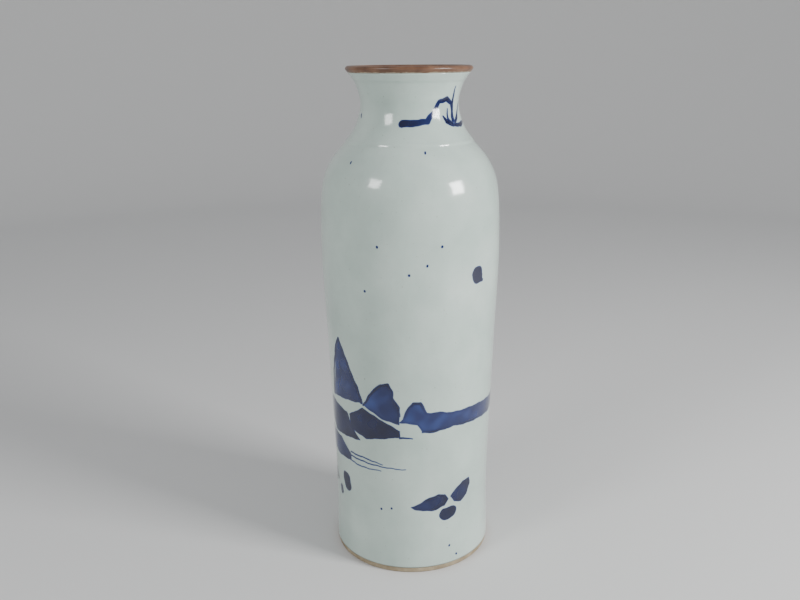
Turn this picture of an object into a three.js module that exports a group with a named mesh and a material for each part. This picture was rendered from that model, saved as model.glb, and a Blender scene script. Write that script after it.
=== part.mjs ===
// Cylindrical vase with a painted, glazed body, built from its thrown sections, slip joints and coats.
// Millimetres, +Z up, origin at the centre of the flat foot.
import * as THREE from 'three';

// Driving dimensions
const height = 240;
const segments = 32;
const footRadius = 39.6;
const beltRadius = 39.0;
const beltHeight = 38;
const midRadius = 41.2;
const midHeight = 108;
const bodyRadius = 42.8;
const bodyHeight = 160;
const shoulderRadius = 40.9;
const shoulderHeight = 188.5;
const slopeRadius = 36.8;
const slopeHeight = 198;
const seamRadius = 29.9;
const seamHeight = 206.5;
const collarRadius = 25.2;
const collarHeight = 213.5;
const neckRadius = 22.7;
const neckHeight = 223;
const flareRadius = 24.6;
const flareHeight = 231.5;
const rimRadius = 29.2;
const lipHalfThickness = 1.4;
const waistSeamHeight = 109;
const slipThickness = 0.6;
const baseThickness = 6;
const recessRadius = 29;
const recessDepth = 1;
const footChamfer = 0.8;
const footWall = 5;
const neckWall = 3.2;
const coatThickness = 0.35;
const coatClearance = 0.05;
const bareBand = 3;
const dressingDrop = 3;
const lipSteps = 6;

// Outer, glazed surface of the vase as a smooth curve from the foot to the lip
const lipHeight = height - lipHalfThickness;
const lipCentreRadius = rimRadius - lipHalfThickness;
const outerCurve = new THREE.CatmullRomCurve3([
  new THREE.Vector3(footRadius, 0, 0),
  new THREE.Vector3(beltRadius, beltHeight, 0),
  new THREE.Vector3(midRadius, midHeight, 0),
  new THREE.Vector3(bodyRadius, bodyHeight, 0),
  new THREE.Vector3(shoulderRadius, shoulderHeight, 0),
  new THREE.Vector3(slopeRadius, slopeHeight, 0),
  new THREE.Vector3(seamRadius, seamHeight, 0),
  new THREE.Vector3(collarRadius, collarHeight, 0),
  new THREE.Vector3(neckRadius, neckHeight, 0),
  new THREE.Vector3(flareRadius, flareHeight, 0),
  new THREE.Vector3(rimRadius, lipHeight, 0),
], false, 'centripetal');

// Radius of the outer surface at a height
function outerRadius(z) {
  let low = 0;
  let high = 1;
  for (let step = 0; step < 40; step += 1) {
    const middle = (low + high) / 2;
    if (outerCurve.getPoint(middle).y < z) low = middle;
    else high = middle;
  }
  return outerCurve.getPoint(high).x;
}

// Radius of the clay's outer face, and of its inner face, under their coats
const coat = coatThickness + coatClearance;
const lipWall = 2 * (lipHalfThickness - coat);
function clayOuter(z) {
  return outerRadius(z) - coat;
}
function clayInner(z) {
  const wall = z < seamHeight
    ? THREE.MathUtils.mapLinear(z, 0, seamHeight, footWall, neckWall)
    : THREE.MathUtils.mapLinear(z, seamHeight, lipHeight, neckWall, lipWall);
  return clayOuter(z) - wall;
}

// Heights shared by the clay and both coats, so that their facets stay parallel
const halfSlip = slipThickness / 2;
const baseSlipTop = baseThickness + slipThickness;
const dressingHeight = height - dressingDrop;
const bodyHeights = [
  baseSlipTop, beltHeight, (beltHeight + waistSeamHeight) / 2,
  waistSeamHeight - halfSlip, waistSeamHeight + halfSlip,
  (waistSeamHeight + bodyHeight) / 2, bodyHeight, (bodyHeight + shoulderHeight) / 2,
  shoulderHeight, slopeHeight,
  seamHeight - halfSlip, seamHeight + halfSlip,
  collarHeight, (collarHeight + neckHeight) / 2, neckHeight, (neckHeight + flareHeight) / 2,
  flareHeight, dressingHeight, lipHeight,
].sort((a, b) => a - b);

function heightsBetween(low, high) {
  return bodyHeights.filter((z) => z >= low - 1e-6 && z <= high + 1e-6);
}

// Solid of revolution about Z from a closed outline of [radius, height] points
function turned(name, outline, colour, roughness) {
  const points = outline.map(([radius, z]) => new THREE.Vector2(radius, z));
  const onAxis = points[0].x === 0 && points[points.length - 1].x === 0;
  if (!onAxis) points.push(points[0].clone());
  const geometry = new THREE.LatheGeometry(points, segments);
  geometry.rotateX(Math.PI / 2);
  const material = new THREE.MeshStandardMaterial({ color: colour, roughness, metalness: 0 });
  const mesh = new THREE.Mesh(geometry, material);
  mesh.name = name;
  return mesh;
}

// Outline of a wall between two radius functions, going up outside and down inside
function wallOutline(heights, outside, inside) {
  const up = heights.map((z) => [outside(z), z]);
  const down = [...heights].reverse().map((z) => [inside(z), z]);
  return [...up, ...down];
}

// Arc of the lip at a distance from its centre, from the outside over the top to the inside
function lipArc(radius) {
  const points = [];
  for (let step = 1; step < lipSteps; step += 1) {
    const angle = (Math.PI * step) / lipSteps;
    points.push([lipCentreRadius + radius * Math.cos(angle), lipHeight + radius * Math.sin(angle)]);
  }
  return points;
}

const clayColour = 0xb09a76;
const slipColour = 0xa8997c;
const glazeColour = 0xc6cec9;
const ironColour = 0x6b4a36;

// Flat base with a recess, so that it rests on a broad ring
function baseDisc() {
  const edge = clayOuter(0);
  return turned('base_disc', [
    [0, recessDepth],
    [recessRadius, recessDepth],
    [recessRadius + recessDepth, 0],
    [edge - footChamfer, 0],
    [edge, footChamfer],
    [clayOuter(bareBand), bareBand],
    [clayOuter(baseThickness), baseThickness],
    [0, baseThickness],
  ], clayColour, 0.9);
}

// Ring of dried slip that luted two sections together
function slipRing(name, low) {
  const heights = [low, low + slipThickness];
  return turned(name, wallOutline(heights, clayOuter, clayInner), slipColour, 0.9);
}

function bodySection(name, low, high) {
  return turned(name, wallOutline(heightsBetween(low, high), clayOuter, clayInner), clayColour, 0.9);
}

function neck() {
  const heights = heightsBetween(seamHeight + halfSlip, lipHeight);
  const up = heights.map((z) => [clayOuter(z), z]);
  const down = [...heights].reverse().map((z) => [clayInner(z), z]);
  return turned('neck', [...up, ...lipArc(lipHalfThickness - coat), ...down], clayColour, 0.9);
}

// Coat outside the clay, from the glaze line above the bare foot band up to the rim dressing
function outerGlaze() {
  const upper = heightsBetween(baseSlipTop, dressingHeight - 1);
  const heights = [bareBand, baseThickness, ...upper, dressingHeight - coatClearance];
  const under = (z) => outerRadius(z) - coatThickness;
  return turned('outer_glaze', wallOutline(heights, outerRadius, under), glazeColour, 0.15);
}

// Coat inside the vase, as a cup on the floor and up the wall
function innerGlaze() {
  const upper = heightsBetween(baseSlipTop, dressingHeight - 1);
  const floor = baseThickness + coatClearance;
  const heights = [...upper, dressingHeight - coatClearance];
  const outside = (z) => clayInner(z) - coatClearance;
  const inside = (z) => clayInner(z) - coat;
  const innerHeights = [floor + coatThickness, ...heights.slice(1)].reverse();
  return turned('inner_glaze', [
    [0, floor],
    [outside(floor), floor],
    ...heights.map((z) => [outside(z), z]),
    ...innerHeights.map((z) => [inside(z), z]),
    [0, floor + coatThickness],
  ], glazeColour, 0.15);
}

// Iron-brown band over the lip
function rimDressing() {
  const outside = [dressingHeight, lipHeight].map((z) => [outerRadius(z), z]);
  const inside = [lipHeight, dressingHeight].map((z) => [clayInner(z) - coat, z]);
  const innerBack = [dressingHeight, lipHeight].map((z) => [clayInner(z) - coatClearance, z]);
  const outerBack = [lipHeight, dressingHeight].map((z) => [outerRadius(z) - coatThickness, z]);
  return turned('rim_dressing', [
    ...outside,
    ...lipArc(lipHalfThickness),
    ...inside,
    ...innerBack,
    ...lipArc(lipHalfThickness - coatThickness).reverse(),
    ...outerBack,
  ], ironColour, 0.5);
}

const group = new THREE.Group();
group.add(
  baseDisc(),
  slipRing('base_slip_ring', baseThickness),
  bodySection('lower_body', baseSlipTop, waistSeamHeight - halfSlip),
  slipRing('waist_slip_ring', waistSeamHeight - halfSlip),
  bodySection('upper_body', waistSeamHeight + halfSlip, seamHeight - halfSlip),
  slipRing('shoulder_slip_ring', seamHeight - halfSlip),
  neck(),
  outerGlaze(),
  innerGlaze(),
  rimDressing(),
);

export default group;
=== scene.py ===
import math

import bpy
import numpy as np
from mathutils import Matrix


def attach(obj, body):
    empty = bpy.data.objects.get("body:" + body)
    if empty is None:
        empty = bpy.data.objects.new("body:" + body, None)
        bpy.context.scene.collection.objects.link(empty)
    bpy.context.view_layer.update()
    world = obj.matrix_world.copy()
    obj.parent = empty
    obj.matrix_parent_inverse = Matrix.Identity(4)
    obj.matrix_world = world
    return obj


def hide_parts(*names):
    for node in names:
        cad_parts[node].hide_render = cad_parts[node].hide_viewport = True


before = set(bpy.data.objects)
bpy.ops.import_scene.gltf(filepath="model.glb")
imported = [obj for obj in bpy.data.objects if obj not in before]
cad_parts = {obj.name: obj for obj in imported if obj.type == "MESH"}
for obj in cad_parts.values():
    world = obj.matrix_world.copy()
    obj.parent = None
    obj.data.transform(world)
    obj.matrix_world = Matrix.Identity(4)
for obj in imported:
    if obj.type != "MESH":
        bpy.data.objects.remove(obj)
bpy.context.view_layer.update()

# Sizes of the vase in millimetres, turned into metres where meshes are made
MM = 0.001
RIM_RADIUS = 29.2
HEIGHT = 240.0
LIP_HALF = 1.4
LIP_HEIGHT = HEIGHT - LIP_HALF
LIP_CENTRE = RIM_RADIUS - LIP_HALF
SEAM_HEIGHT = 206.5
SEAM_RADIUS = 29.9
PROFILE = [
    (39.6, 0), (39.0, 38), (41.2, 108), (42.8, 160), (40.9, 188.5), (36.8, 198),
    (SEAM_RADIUS, SEAM_HEIGHT), (25.2, 213.5), (22.7, 223), (24.6, 231.5), (RIM_RADIUS, LIP_HEIGHT),
]
COAT = 0.35
COAT_GAP = 0.05
CLAY_OFFSET = COAT + COAT_GAP
FOOT_WALL = 5.0
NECK_WALL = 3.2
BARE_BAND = 3.0
BAND_LOW = 237.0
BASE_TOP = 6.0
RECESS_RADIUS = 29.0
RECESS_DEPTH = 1.0
FOOT_CHAMFER = 0.8
FOOT_TAPER = 0.1
AXIS_HOLE = 0.4

# The seam shows as a low ridge over a shallow groove
SEAM_RELIEF = 0.3
SEAM_SPREAD = 0.5
RIDGE_ABOVE = 0.6
GROOVE_BELOW = 0.5

# How finely the meshes are divided
AROUND = 224
CURVE_STEPS = 40
SKIN_STEPS = 430
SKIN_BACK_STRIDE = 12
INSIDE_STEPS = 120
INSIDE_BACK_STRIDE = 4
BAND_STEPS = 6
LIP_STEPS = 17
CHAMFER_STEPS = 7


def catmull(points, per_span):
    """Centripetal curve through the profile points, as the vase's outline."""
    pts = [np.array(p, float) for p in points]
    pts = [2 * pts[0] - pts[1]] + pts + [2 * pts[-1] - pts[-2]]
    out = []
    for i in range(1, len(pts) - 2):
        p = pts[i - 1:i + 3]
        t = [0.0]
        for a, b in zip(p, p[1:]):
            t.append(t[-1] + math.sqrt(np.linalg.norm(b - a)))
        for s in np.linspace(t[1], t[2], per_span, endpoint=False):
            a1, a2, a3 = [
                ((t[k + 1] - s) * p[k] + (s - t[k]) * p[k + 1]) / (t[k + 1] - t[k]) for k in range(3)
            ]
            b1 = ((t[2] - s) * a1 + (s - t[0]) * a2) / (t[2] - t[0])
            b2 = ((t[3] - s) * a2 + (s - t[1]) * a3) / (t[3] - t[1])
            out.append(((t[2] - s) * b1 + (s - t[1]) * b2) / (t[2] - t[1]))
    out.append(pts[-2])
    return np.array(out)


CURVE = catmull(PROFILE, CURVE_STEPS)


def outer_radius(z):
    """Radius of the outside glaze at a height."""
    return np.interp(z, CURVE[:, 1], CURVE[:, 0])


def seam_ridge(z):
    """Slight ridge over a groove, where the glaze shows the slip joint under the neck."""
    ridge = SEAM_RELIEF * math.exp(-((z - SEAM_HEIGHT - RIDGE_ABOVE) / SEAM_SPREAD) ** 2)
    return ridge - SEAM_RELIEF * math.exp(-((z - SEAM_HEIGHT + GROOVE_BELOW) / SEAM_SPREAD) ** 2)


def inner_radius(z):
    """Radius of the inside glaze's free face."""
    lip_wall = 2 * (LIP_HALF - CLAY_OFFSET)
    wall = np.interp(z, [0, SEAM_HEIGHT, LIP_HEIGHT], [FOOT_WALL, NECK_WALL, lip_wall])
    return outer_radius(z) - 2 * CLAY_OFFSET - wall


def outer_line(heights, depth=0.0):
    """Points of the outside at these heights, sunk by a depth."""
    return [(float(outer_radius(z)) - depth, z) for z in heights]


def inner_line(heights, depth=0.0):
    """Points of the inside at these heights, sunk into the wall by a depth."""
    return [(float(inner_radius(z)) + depth, z) for z in heights]


def lip_arc(radius):
    """Half circle over the lip, from the outside to the inside."""
    angles = np.linspace(0, math.pi, LIP_STEPS)
    return [(LIP_CENTRE + radius * math.cos(a), LIP_HEIGHT + radius * math.sin(a)) for a in angles]


def mesh_object(name, verts, faces, material, replaced=()):
    mesh = bpy.data.meshes.new(name)
    mesh.from_pydata([tuple(v) for v in verts], [], faces)
    mesh.polygons.foreach_set("use_smooth", [True] * len(mesh.polygons))
    mesh.update()
    piece = bpy.data.objects.new(name, mesh)
    bpy.context.scene.collection.objects.link(piece)
    mesh.materials.append(material)
    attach(piece, "root")
    if replaced:
        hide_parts(*replaced)
    return piece


def turned(name, outline, material, replaced=()):
    """Closed solid of revolution from (radius, height) points that run round the section."""
    ring = np.array(outline, float) * MM
    angles = np.linspace(0, 2 * math.pi, AROUND, endpoint=False)
    count = len(ring)
    verts = np.zeros((AROUND, count, 3))
    verts[:, :, 0] = np.cos(angles)[:, None] * ring[:, 0]
    verts[:, :, 1] = np.sin(angles)[:, None] * ring[:, 0]
    verts[:, :, 2] = ring[:, 1]
    faces = []
    for i in range(AROUND):
        j = (i + 1) % AROUND
        for k in range(count):
            m = (k + 1) % count
            faces.append((i * count + k, j * count + k, j * count + m, i * count + m))
    return mesh_object(name, verts.reshape(-1, 3), faces, material, replaced)


# Colours are linear red, green and blue; noise scales are waves per metre
GLAZE_CLOUDS = [(0.3, (0.46, 0.575, 0.52)), (0.72, (0.6, 0.71, 0.65))]
GLAZE_SPECKS = [(0.74, (1, 1, 1)), (0.79, (0.55, 0.56, 0.5))]
SPECK_SHARE = 0.6
COBALT_DEPTHS = [
    (0.0, (0.2, 0.28, 0.42)), (0.2, (0.026, 0.055, 0.22)),
    (0.5, (0.007, 0.017, 0.1)), (1.0, (0.002, 0.004, 0.034)),
]
COBALT_COVER = [(0.02, (0, 0, 0)), (0.2, (1, 1, 1))]
CLAY_GRAIN = [(0.3, (0.3, 0.235, 0.15)), (0.75, (0.47, 0.39, 0.27))]
IRON_GRAIN = [(0.3, (0.11, 0.05, 0.028)), (0.75, (0.24, 0.125, 0.07))]
# Beige painted along the lip band's lower edge: part painted highlight, part worn dressing
EDGE_HIGHLIGHT_AND_WEAR_BEIGE = (0.42, 0.36, 0.26)
EDGE_HIGHLIGHT_AND_WEAR_COVER = [(0.25, (0, 0, 0)), (0.5, (1, 1, 1))]
EDGE_HIGHLIGHT_AND_WEAR_HEIGHT = 1.1
FLOOR_COLOUR = (0.74, 0.74, 0.73, 1)
WORLD_COLOUR = (0.93, 0.95, 1.0, 1)
WORLD_STRENGTH = 0.46

# Places of the sockets of a colour Mix node
MIX_FACTOR, MIX_FIRST, MIX_SECOND = 0, 6, 7
MIX_RESULT = 2


class Nodes:
    """Short helper for a material's node tree."""

    def __init__(self, name):
        self.material = bpy.data.materials.new(name)
        self.material.use_nodes = True
        self.tree = self.material.node_tree
        self.shader = self.tree.nodes["Principled BSDF"]
        self.coords = self.tree.nodes.new("ShaderNodeTexCoord")

    def link(self, source, target):
        self.tree.links.new(source, target)

    def noise(self, scale, detail=4.0):
        node = self.tree.nodes.new("ShaderNodeTexNoise")
        node.inputs["Scale"].default_value = scale
        node.inputs["Detail"].default_value = detail
        self.link(self.coords.outputs["Object"], node.inputs["Vector"])
        return node.outputs["Fac"]

    def ramp(self, source, stops):
        node = self.tree.nodes.new("ShaderNodeValToRGB")
        elements = node.color_ramp.elements
        while len(elements) < len(stops):
            elements.new(0.5)
        for element, (place, colour) in zip(elements, stops):
            element.position = place
            element.color = (*colour, 1)
        self.link(source, node.inputs["Fac"])
        return node.outputs["Color"]

    def mix(self, factor, first, second, mode="MIX"):
        node = self.tree.nodes.new("ShaderNodeMix")
        node.data_type = "RGBA"
        node.blend_type = mode
        for value, index in ((factor, MIX_FACTOR), (first, MIX_FIRST), (second, MIX_SECOND)):
            if hasattr(value, "links"):
                self.link(value, node.inputs[index])
            elif index == MIX_FACTOR:
                node.inputs[index].default_value = value
            else:
                node.inputs[index].default_value = (*value, 1)
        return node.outputs[MIX_RESULT]

    def bump(self, source, strength, distance):
        node = self.tree.nodes.new("ShaderNodeBump")
        node.inputs["Strength"].default_value = strength
        node.inputs["Distance"].default_value = distance
        self.link(source, node.inputs["Height"])
        self.link(node.outputs["Normal"], self.shader.inputs["Normal"])


def glaze_colour(nodes):
    """Pale bluish-green glaze with soft grey clouds and fine specks."""
    clouds = nodes.ramp(nodes.noise(38.0), GLAZE_CLOUDS)
    specks = nodes.ramp(nodes.noise(900.0, 1.0), GLAZE_SPECKS)
    return nodes.mix(SPECK_SHARE, clouds, specks, "MULTIPLY")


def glaze_material(name, painted):
    """Glossy glaze, with cobalt under it where a point's cobalt value says how deep the paint is."""
    nodes = Nodes(name)
    colour = glaze_colour(nodes)
    if painted:
        attribute = nodes.tree.nodes.new("ShaderNodeAttribute")
        attribute.attribute_name = "cobalt"
        amount = attribute.outputs["Fac"]
        blue = nodes.ramp(amount, COBALT_DEPTHS)
        cover = nodes.ramp(amount, COBALT_COVER)
        colour = nodes.mix(cover, colour, blue)
    nodes.link(colour, nodes.shader.inputs["Base Color"])
    nodes.shader.inputs["Roughness"].default_value = 0.13
    nodes.shader.inputs["Coat Weight"].default_value = 0.4
    nodes.shader.inputs["Coat Roughness"].default_value = 0.06
    nodes.bump(nodes.noise(55.0, 3.0), 0.22, 0.002)
    return nodes.material


def clay_material():
    """Dry buff clay with a fine grain."""
    nodes = Nodes("bare_clay")
    colour = nodes.ramp(nodes.noise(260.0, 6.0), CLAY_GRAIN)
    nodes.link(colour, nodes.shader.inputs["Base Color"])
    nodes.shader.inputs["Roughness"].default_value = 0.85
    nodes.bump(nodes.noise(900.0, 5.0), 0.5, 0.0006)
    return nodes.material


def iron_material():
    """Iron-brown dressing, with beige painted along its lower edge as a painted highlight there and as worn
    dressing.
    """
    nodes = Nodes("iron_brown")
    brown = nodes.ramp(nodes.noise(150.0, 5.0), IRON_GRAIN)
    split = nodes.tree.nodes.new("ShaderNodeSeparateXYZ")
    nodes.link(nodes.coords.outputs["Object"], split.inputs["Vector"])
    # Paler beige painted along the band's lower edge, standing in for the highlight there and for worn
    # dressing
    height = nodes.tree.nodes.new("ShaderNodeMapRange")
    height.inputs["From Min"].default_value = (BAND_LOW + EDGE_HIGHLIGHT_AND_WEAR_HEIGHT) * MM
    height.inputs["From Max"].default_value = BAND_LOW * MM
    nodes.link(split.outputs["Z"], height.inputs["Value"])
    highlight_and_wear = nodes.tree.nodes.new("ShaderNodeMath")
    highlight_and_wear.operation = "MULTIPLY"
    nodes.link(height.outputs["Result"], highlight_and_wear.inputs[0])
    nodes.link(nodes.noise(420.0, 4.0), highlight_and_wear.inputs[1])
    cover = nodes.ramp(highlight_and_wear.outputs["Value"], EDGE_HIGHLIGHT_AND_WEAR_COVER)
    nodes.link(nodes.mix(cover, brown, EDGE_HIGHLIGHT_AND_WEAR_BEIGE), nodes.shader.inputs["Base Color"])
    nodes.shader.inputs["Roughness"].default_value = 0.32
    nodes.bump(nodes.noise(400.0, 4.0), 0.25, 0.0006)
    return nodes.material


# The painting. Points are (degrees round from the front, height in mm), widths are mm,
# and depths of paint run from 0, none, to 1, nearly black.


def stroke(points, widths, depths):
    """Brush stroke along the points, with a width and a depth of paint at each."""
    return "stroke", points, widths, depths


def wash(points, depths):
    """Wash inside an outline, with its depth of paint at the left and at the right."""
    return "wash", points, None, depths


NECK_MARKS = [
    stroke([(-7.8, 215.7), (5.7, 216), (18.6, 216.5), (28.2, 220.8), (35.4, 224.6), (46, 225.9),
            (55, 223.6), (55.6, 216)],
           [2.9, 2.6, 2.2, 1.7, 1.7, 2.0, 1.7, 1.2],
           [1, 0.85, 0.6, 0.6, 0.75, 1, 0.7, 0.5]),
    stroke([(52, 215), (58.3, 224.6), (57.4, 230.9)], [1.0, 1.4, 0.4], [0.8, 0.9, 0.6]),
    stroke([(56, 215), (64.1, 217.9), (78, 223.9)], [1.0, 1.3, 0.4], [0.8, 0.9, 0.6]),
    stroke([(52, 214.5), (46, 217.1), (47.2, 221.5)], [1.0, 1.1, 0.4], [0.8, 0.8, 0.5]),
    stroke([(39.3, 218.4), (43, 216.2), (52, 214.2)], [0.5, 1.9, 1.1], [0.9, 1, 0.8]),
    stroke([(54, 214.2), (70, 214.4), (83.8, 215.5)], [1.1, 1.8, 0.5], [0.8, 1, 0.7]),
    stroke([(-69, 218.8), (-66.5, 217.6)], [0.9, 0.5], [0.8, 0.6]),
]
DOT_MARKS = [
    stroke([(45, 149.9), (45.3, 148.6)], [6.6, 6.6], [1, 1]),
    stroke([(46, 147.4), (49.6, 146)], [3.4, 1.2], [1, 0.9]),
]
TALL_ROCK = [
    wash([(-55.4, 117.2), (-60, 111), (-67, 86), (-35.3, 88.1), (-39.2, 96.1), (-44.6, 102.7),
          (-51.8, 112.9)],
         [0.3, 0.62]),
    stroke([(-55.4, 117.2), (-59.8, 112.7), (-66, 98), (-68, 86)], [0.8, 1.1, 1.3, 1.6], [0.9, 0.8, 0.9, 1]),
    stroke([(-55.4, 117.2), (-51.8, 112.9), (-44.6, 102.7), (-39.2, 96.1), (-35.3, 88.1)],
           [0.8, 1.0, 1.3, 1.5, 1.2],
           [0.9, 0.8, 0.8, 0.9, 0.8]),
    stroke([(-57, 108), (-55, 100), (-58, 92)], [0.6, 1.4, 0.5], [0.5, 0.7, 0.5]),
]
BOULDER = [
    wash([(-33.7, 87.3), (-26.8, 94.6), (-20.1, 99), (-15.3, 99.7), (-12.6, 93.4), (-8.5, 88.5),
          (-8.1, 80), (-20, 82)],
         [0.18, 0.7]),
    stroke([(-33.7, 87.3), (-26.8, 94.6), (-20.1, 99), (-15.3, 99.7), (-12.9, 96.7), (-12.6, 93.4)],
           [0.8, 1.2, 1.4, 1.3, 1.1, 0.8],
           [0.8, 0.9, 0.9, 1, 0.9, 0.7]),
    stroke([(-12.6, 93.4), (-8.5, 88.5), (-8.1, 84.5)], [0.8, 1.3, 0.8], [0.8, 0.9, 0.7]),
    stroke([(-19, 92), (-15, 86)], [0.4, 0.5], [0.6, 0.6]),
]
SECOND_FAN_LINE = [
    stroke([(-17, 92.5), (-12, 87)], [0.4, 0.5], [0.6, 0.6]),
]
FRONT_ROCK = [
    wash([(-47.7, 79.8), (-34.6, 85.6), (-20, 81), (-7.9, 76.6), (-8, 73.5), (-32.5, 70), (-46, 73)],
         [0.75, 1.0]),
]
SHORE = [
    stroke([(-8, 73.2), (0.6, 72.8)], [0.8, 0.4], [0.8, 0.5]),
    wash([(-74.4, 83.3), (-50.2, 80.2), (-46, 74), (-38.3, 68.1), (-69.3, 66.3), (-78, 72)], [0.55, 0.95]),
    wash([(-5.1, 83.4), (-1.7, 88.6), (1.5, 90.9), (5.7, 90.8), (10, 85.7), (18.8, 85.6), (28, 84.3),
          (49, 84.2), (70, 83.2), (86, 82), (86, 76.5), (72.6, 75.5), (54.9, 76.4), (39.4, 76.9),
          (29.6, 77.4), (15.1, 76), (7.5, 76), (4, 80), (-8, 81)],
         [0.38, 0.62]),
    stroke([(-5.1, 83.4), (-1.7, 88.6), (1.5, 90.9), (5.7, 90.8), (10, 85.7)],
           [0.6, 0.9, 1.2, 1.2, 0.7],
           [0.7, 0.8, 0.9, 0.9, 0.6]),
    stroke([(7.5, 76), (15.1, 76), (29.6, 77.4), (39.4, 76.9), (54.9, 76.4), (72.6, 75.5)],
           [0.7, 1.1, 0.8, 1.0, 0.8, 0.7],
           [0.7, 0.9, 0.7, 0.9, 0.7, 0.6]),
]
WATER = [
    wash([(-84, 66), (-60, 64.5), (-48.6, 58.5), (-48.6, 55), (-66, 54), (-84, 56)], [0.35, 0.6]),
    stroke([(-56, 55.6), (-51, 55.4)], [1.8, 1.2], [1, 0.9]),
    stroke([(-48, 59.5), (-33, 59.2), (-20.5, 57.8)], [0.6, 0.5, 0.35], [0.7, 0.6, 0.4]),
    stroke([(-49, 57.6), (-30, 56.9), (-4.2, 56.3)], [0.6, 0.5, 0.3], [0.7, 0.55, 0.4]),
    stroke([(-50, 55), (-38, 54), (-22, 54.4)], [0.5, 0.5, 0.3], [0.6, 0.5, 0.4]),
]
LEFT_PEBBLES = [
    stroke([(-77, 40.5), (-73, 38)], [3.4, 2.4], [0.95, 0.9]),
    stroke([(-56.2, 43), (-54.6, 39.6)], [6.4, 6.0], [0.95, 1]),
    stroke([(-65.2, 35), (-64.6, 33)], [3.1, 2.8], [0.9, 0.9]),
]
RIGHT_PEBBLES = [
    wash([(-0.6, 36), (5, 37.8), (12, 40.6), (19, 41.7), (24.5, 41), (26.6, 38.4), (24, 35.4),
          (17, 33.6), (8, 33.9), (2, 35)],
         [0.6, 1.0]),
    wash([(28.6, 39.5), (33, 42.6), (39, 45.4), (45.5, 45.8), (46.4, 42.4), (43, 37.4), (38, 35), (32, 36)],
         [0.65, 1.0]),
    stroke([(24.6, 30.4), (29, 30.9)], [6.4, 6.0], [0.95, 1]),
]
SPECK_PLACES = [
    (-20, 164.7), (10.1, 156.4), (-1, 152.3), (18.7, 164.4), (-28.4, 143.9), (11.9, 204), (-46.1, 199.1),
    (-22.3, 33.8), (-14.6, 34.8), (27.9, 12.5), (33.7, 6.6), (150, 170), (200, 120), (-120, 150),
]
SPECK_WIDTH = 0.8
SPECK_HALF_LENGTH = 0.1
SPECK_DEPTH = 0.7
BACK_SHIFT = 160

# How the paint lies, in millimetres on the unrolled surface
PAINT_STEP = 0.28
PAINT_LIFT = 0.03
STROKE_SOFTNESS = 0.45
WASH_SOFTNESS = 0.5
POOL_WIDTH = 0.8
POOL_DEPTH = 0.18
THINNEST_WASH = 0.05
LEAST_PAINT = 0.002
TINY = 1e-9
FAR_AWAY = 1e3


def distance_to(u, v, a, b):
    """Distance of each point from the line a to b, and how far along that line its nearest place is."""
    step = b - a
    along = np.clip(((u - a[0]) * step[0] + (v - a[1]) * step[1]) / max(step @ step, TINY), 0, 1)
    return np.hypot(u - a[0] - along * step[0], v - a[1] - along * step[1]), along


def segment_field(u, v, a, b, widths, depths):
    """Paint of one stretch of a stroke, with a soft edge."""
    away, along = distance_to(u, v, a, b)
    half = (widths[0] + along * (widths[1] - widths[0])) / 2
    depth = depths[0] + along * (depths[1] - depths[0])
    return depth * np.clip((half - away) / STROKE_SOFTNESS + 0.5, 0, 1)


def wash_field(u, v, points, depths):
    """Paint of a wash that fills an outline, darker towards its right side and pooled along its edge."""
    inside = np.zeros(u.shape, bool)
    away = np.full(u.shape, FAR_AWAY)
    for a, b in zip(points, np.roll(points, -1, axis=0)):
        away = np.minimum(away, distance_to(u, v, a, b)[0])
        step = b - a
        rise = step[1] if abs(step[1]) > TINY else TINY
        crosses = (a[1] > v) != (b[1] > v)
        inside ^= crosses & (u < a[0] + (v - a[1]) * step[0] / rise)
    signed = np.where(inside, away, -away)
    low, high = points[:, 0].min(), points[:, 0].max()
    level = depths[0] + (depths[1] - depths[0]) * np.clip((u - low) / (high - low), 0, 1)
    streaks = 0.07 * np.sin(0.6 * v + 1.9 * np.sin(0.22 * u))
    streaks = streaks + 0.04 * np.sin(0.8 * u + 1.4 * np.sin(0.5 * v))
    pool = POOL_DEPTH * np.exp(-(away / POOL_WIDTH) ** 2)
    return np.clip(level + streaks + pool, THINNEST_WASH, 1) * np.clip(signed / WASH_SOFTNESS + 0.5, 0, 1)


def paint_depth(marks, u, z, per_degree):
    """Depth of paint at each point of the unrolled surface, with the brush's slight unsteadiness."""
    wobble_u = u + 0.12 * np.sin(1.1 * z) + 0.1 * np.sin(0.6 * u + 0.7 * z)
    wobble_z = z + 0.12 * np.sin(0.8 * u) + 0.06 * np.sin(1.7 * u + 0.5 * z)
    depth = np.zeros(u.shape)
    for kind, points, widths, depths in marks:
        pts = np.array(points, float) * (per_degree, 1)
        if kind == "wash":
            depth = np.maximum(depth, wash_field(wobble_u, wobble_z, pts, depths))
            continue
        for k in range(len(pts) - 1):
            ends = (pts[k], pts[k + 1], widths[k:k + 2], depths[k:k + 2])
            depth = np.maximum(depth, segment_field(wobble_u, wobble_z, *ends))
    return depth


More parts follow.
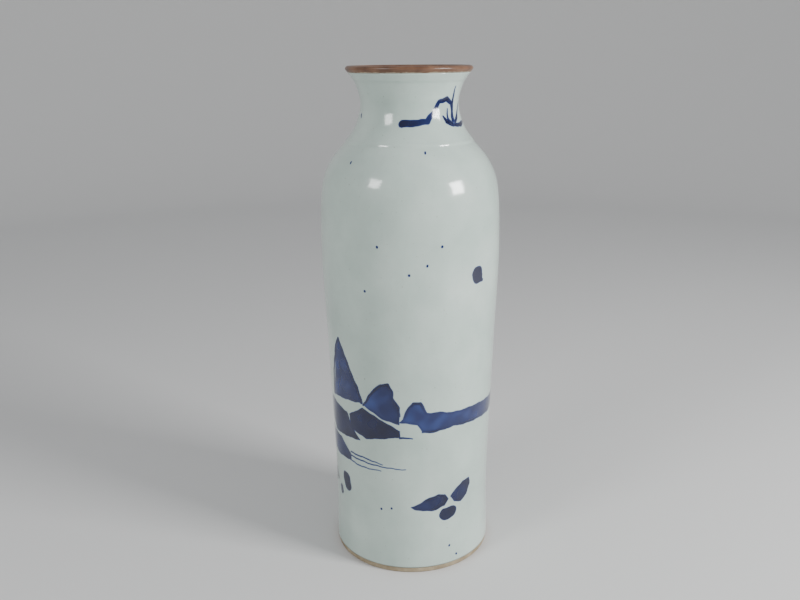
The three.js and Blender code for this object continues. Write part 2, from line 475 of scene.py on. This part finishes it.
def painting(name, marks, turns, heights, material, shift=0.0, mirror=1.0):
    """Sparse skin just above the glaze, only where there is paint, with the paint's depth on each point."""
    middle = (heights[0] + heights[1]) / 2
    per_degree = math.radians(1) * float(outer_radius(middle))
    columns = int((turns[1] - turns[0]) * per_degree / PAINT_STEP)
    rows = int((heights[1] - heights[0]) / PAINT_STEP)
    degrees, z = np.meshgrid(np.linspace(*turns, columns), np.linspace(*heights, rows), indexing="ij")
    depth = paint_depth(marks, degrees * per_degree, z, per_degree)
    angle = np.radians(degrees * mirror + shift)
    r = (outer_radius(z) + PAINT_LIFT) * MM
    verts = np.stack([r * np.sin(angle), -r * np.cos(angle), z * MM], -1).reshape(-1, 3)
    wet = depth > LEAST_PAINT
    keep = wet[:-1, :-1] | wet[1:, :-1] | wet[1:, 1:] | wet[:-1, 1:]
    i, j = np.nonzero(keep)
    corner = i * rows + j
    faces = np.stack([corner, corner + rows, corner + rows + 1, corner + 1], -1)
    if mirror < 0:
        faces = faces[:, ::-1]
    used, packed = np.unique(faces, return_inverse=True)
    piece = mesh_object(name, verts[used], packed.reshape(faces.shape).tolist(), material)
    values = piece.data.attributes.new("cobalt", "FLOAT", "POINT")
    values.data.foreach_set("value", depth.reshape(-1)[used].astype(np.float32))
    return piece


# Camera at the photograph's place: metres, degrees, and pixels of the 800×600 frame
CAMERA_DISTANCE = 0.3889
CAMERA_HEIGHT = 0.2446
CAMERA_PITCH = 16.62
CAMERA_ROLL = 0.4
FOCAL_PIXELS = 822.0
AXIS_OFFSET_PIXELS = 9.0
IMAGE_WIDTH = 800.0


def make_camera():
    data = bpy.data.cameras.new("camera")
    data.sensor_width = 36.0
    data.lens = data.sensor_width * FOCAL_PIXELS / IMAGE_WIDTH
    data.shift_x = -AXIS_OFFSET_PIXELS / IMAGE_WIDTH
    data.clip_start = 0.01
    camera = bpy.data.objects.new("camera", data)
    camera.location = (0, -CAMERA_DISTANCE, CAMERA_HEIGHT)
    camera.rotation_euler = (math.radians(90 - CAMERA_PITCH), math.radians(CAMERA_ROLL), 0)
    bpy.context.scene.collection.objects.link(camera)
    bpy.context.scene.camera = camera


def make_lamp(name, place, size, power, target=(0, 0, 0.13)):
    """Square lamp that faces the target."""
    data = bpy.data.lights.new(name, "AREA")
    data.size = size
    data.energy = power
    lamp = bpy.data.objects.new(name, data)
    lamp.location = place
    direction = np.array(target) - np.array(place)
    tilt = math.atan2(math.hypot(direction[0], direction[1]), -direction[2])
    turn = math.atan2(direction[1], direction[0]) - math.pi / 2
    lamp.rotation_euler = (tilt, 0, turn)
    bpy.context.scene.collection.objects.link(lamp)


def make_floor():
    """Pale round floor that turns up into a low wall all round, so that it looks alike from every side."""
    centre_hole, flat, bend, top = 0.001, 1.0, 0.4, 1.0
    sides, bend_steps = 96, 17
    line = [(centre_hole, 0.0), (flat, 0.0)]
    for a in np.linspace(0, math.pi / 2, bend_steps)[1:]:
        line.append((flat + bend * math.sin(a), bend - bend * math.cos(a)))
    line.append((flat + bend, top))
    turns = np.linspace(0, 2 * math.pi, sides, endpoint=False)
    verts = [(r * math.cos(a), r * math.sin(a), z) for a in turns for r, z in line]
    faces = []
    for i in range(sides):
        near, far = i * len(line), (i + 1) % sides * len(line)
        faces += [(near + k, far + k, far + k + 1, near + k + 1) for k in range(len(line) - 1)]
    mesh = bpy.data.meshes.new("floor")
    mesh.from_pydata(verts, [], faces)
    mesh.polygons.foreach_set("use_smooth", [True] * len(mesh.polygons))
    nodes = Nodes("floor")
    nodes.shader.inputs["Base Color"].default_value = FLOOR_COLOUR
    nodes.shader.inputs["Roughness"].default_value = 0.9
    mesh.materials.append(nodes.material)
    floor = bpy.data.objects.new("floor", mesh)
    bpy.context.scene.collection.objects.link(floor)


def make_world():
    world = bpy.data.worlds.new("studio")
    bpy.context.scene.world = world
    world.use_nodes = True
    background = world.node_tree.nodes["Background"]
    background.inputs["Color"].default_value = WORLD_COLOUR
    background.inputs["Strength"].default_value = WORLD_STRENGTH


def make_outer_glaze(glaze):
    heights = np.linspace(BARE_BAND, BAND_LOW - COAT_GAP, SKIN_STEPS)
    skin = [(float(outer_radius(z) + seam_ridge(z)), z) for z in heights]
    skin += outer_line(heights[::-SKIN_BACK_STRIDE], COAT)
    turned("glaze_skin", skin, glaze, ["outer_glaze"])


def make_inner_glaze(glaze):
    heights = np.linspace(BASE_TOP + CLAY_OFFSET, BAND_LOW - COAT_GAP, INSIDE_STEPS)
    cup = [(AXIS_HOLE, BASE_TOP + COAT_GAP)] + inner_line(heights[::INSIDE_BACK_STRIDE], COAT)
    cup += inner_line(heights[::-1]) + [(AXIS_HOLE, BASE_TOP + CLAY_OFFSET)]
    turned("inner_glaze_skin", cup, glaze, ["inner_glaze"])


def make_lip_band(iron):
    """Closed band over the lip: its face goes up the outside and down the inside, its back returns."""
    up = np.linspace(BAND_LOW, LIP_HEIGHT, BAND_STEPS)[:-1]
    down = up[::-1]
    band = outer_line(up) + lip_arc(LIP_HALF) + inner_line(down)
    band += inner_line(up, COAT) + lip_arc(LIP_HALF - COAT)[::-1] + outer_line(down, COAT)
    turned("lip_band", band, iron, ["rim_dressing"])


def make_foot(clay):
    edge = float(outer_radius(0)) - CLAY_OFFSET
    foot = [(AXIS_HOLE, RECESS_DEPTH), (RECESS_RADIUS, RECESS_DEPTH), (RECESS_RADIUS + RECESS_DEPTH, 0)]
    for a in np.linspace(0, math.pi / 2, CHAMFER_STEPS):
        across = edge - FOOT_CHAMFER + FOOT_CHAMFER * math.sin(a)
        foot.append((across, FOOT_CHAMFER - FOOT_CHAMFER * math.cos(a)))
    foot += [(edge, BARE_BAND), (edge - FOOT_TAPER, BASE_TOP), (AXIS_HOLE, BASE_TOP)]
    turned("bare_foot", foot, clay, ["base_disc"])


def finish_hidden_nodes(clay):
    """The sections and slip rings between the coats take the clay."""
    sections = ["lower_body", "upper_body", "neck"]
    rings = ["base_slip_ring", "waist_slip_ring", "shoulder_slip_ring"]
    for node in sections + rings:
        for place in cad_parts[node].material_slots:
            place.material = clay


def make_paintings(paint):
    front = TALL_ROCK + BOULDER + SECOND_FAN_LINE + FRONT_ROCK + SHORE + WATER
    back = TALL_ROCK + BOULDER + FRONT_ROCK
    painting("neck_painting", NECK_MARKS, (-80, 95), (211, 233), paint)
    painting("sun_dot", DOT_MARKS, (35, 60), (140, 158), paint)
    painting("landscape", front, (-95, 95), (50, 121), paint)
    painting("pebbles", LEFT_PEBBLES + RIGHT_PEBBLES, (-85, 60), (24, 48), paint)
    painting("back_landscape", back, (-85, 12), (64, 121), paint, BACK_SHIFT, -1.0)
    painting("back_pebbles", RIGHT_PEBBLES, (-10, 60), (24, 48), paint, BACK_SHIFT)
    specks = [
        stroke([(a, z - SPECK_HALF_LENGTH), (a, z + SPECK_HALF_LENGTH)], [SPECK_WIDTH] * 2, [SPECK_DEPTH] * 2)
        for a, z in SPECK_PLACES
    ]
    painting("iron_specks", specks, (-130, 210), (5, 205.5), paint)


make_camera()
make_lamp("key", (0.68, -0.34, 0.42), 0.24, 7.5)
make_lamp("fill", (-0.46, -0.42, 0.5), 0.18, 1.5)
make_floor()
make_world()

glaze_finish = glaze_material("glaze", painted=False)
paint_finish = glaze_material("cobalt_painting", painted=True)
clay_finish = clay_material()
iron_finish = iron_material()

make_outer_glaze(glaze_finish)
make_inner_glaze(glaze_finish)
make_lip_band(iron_finish)
make_foot(clay_finish)
finish_hidden_nodes(clay_finish)
make_paintings(paint_finish)
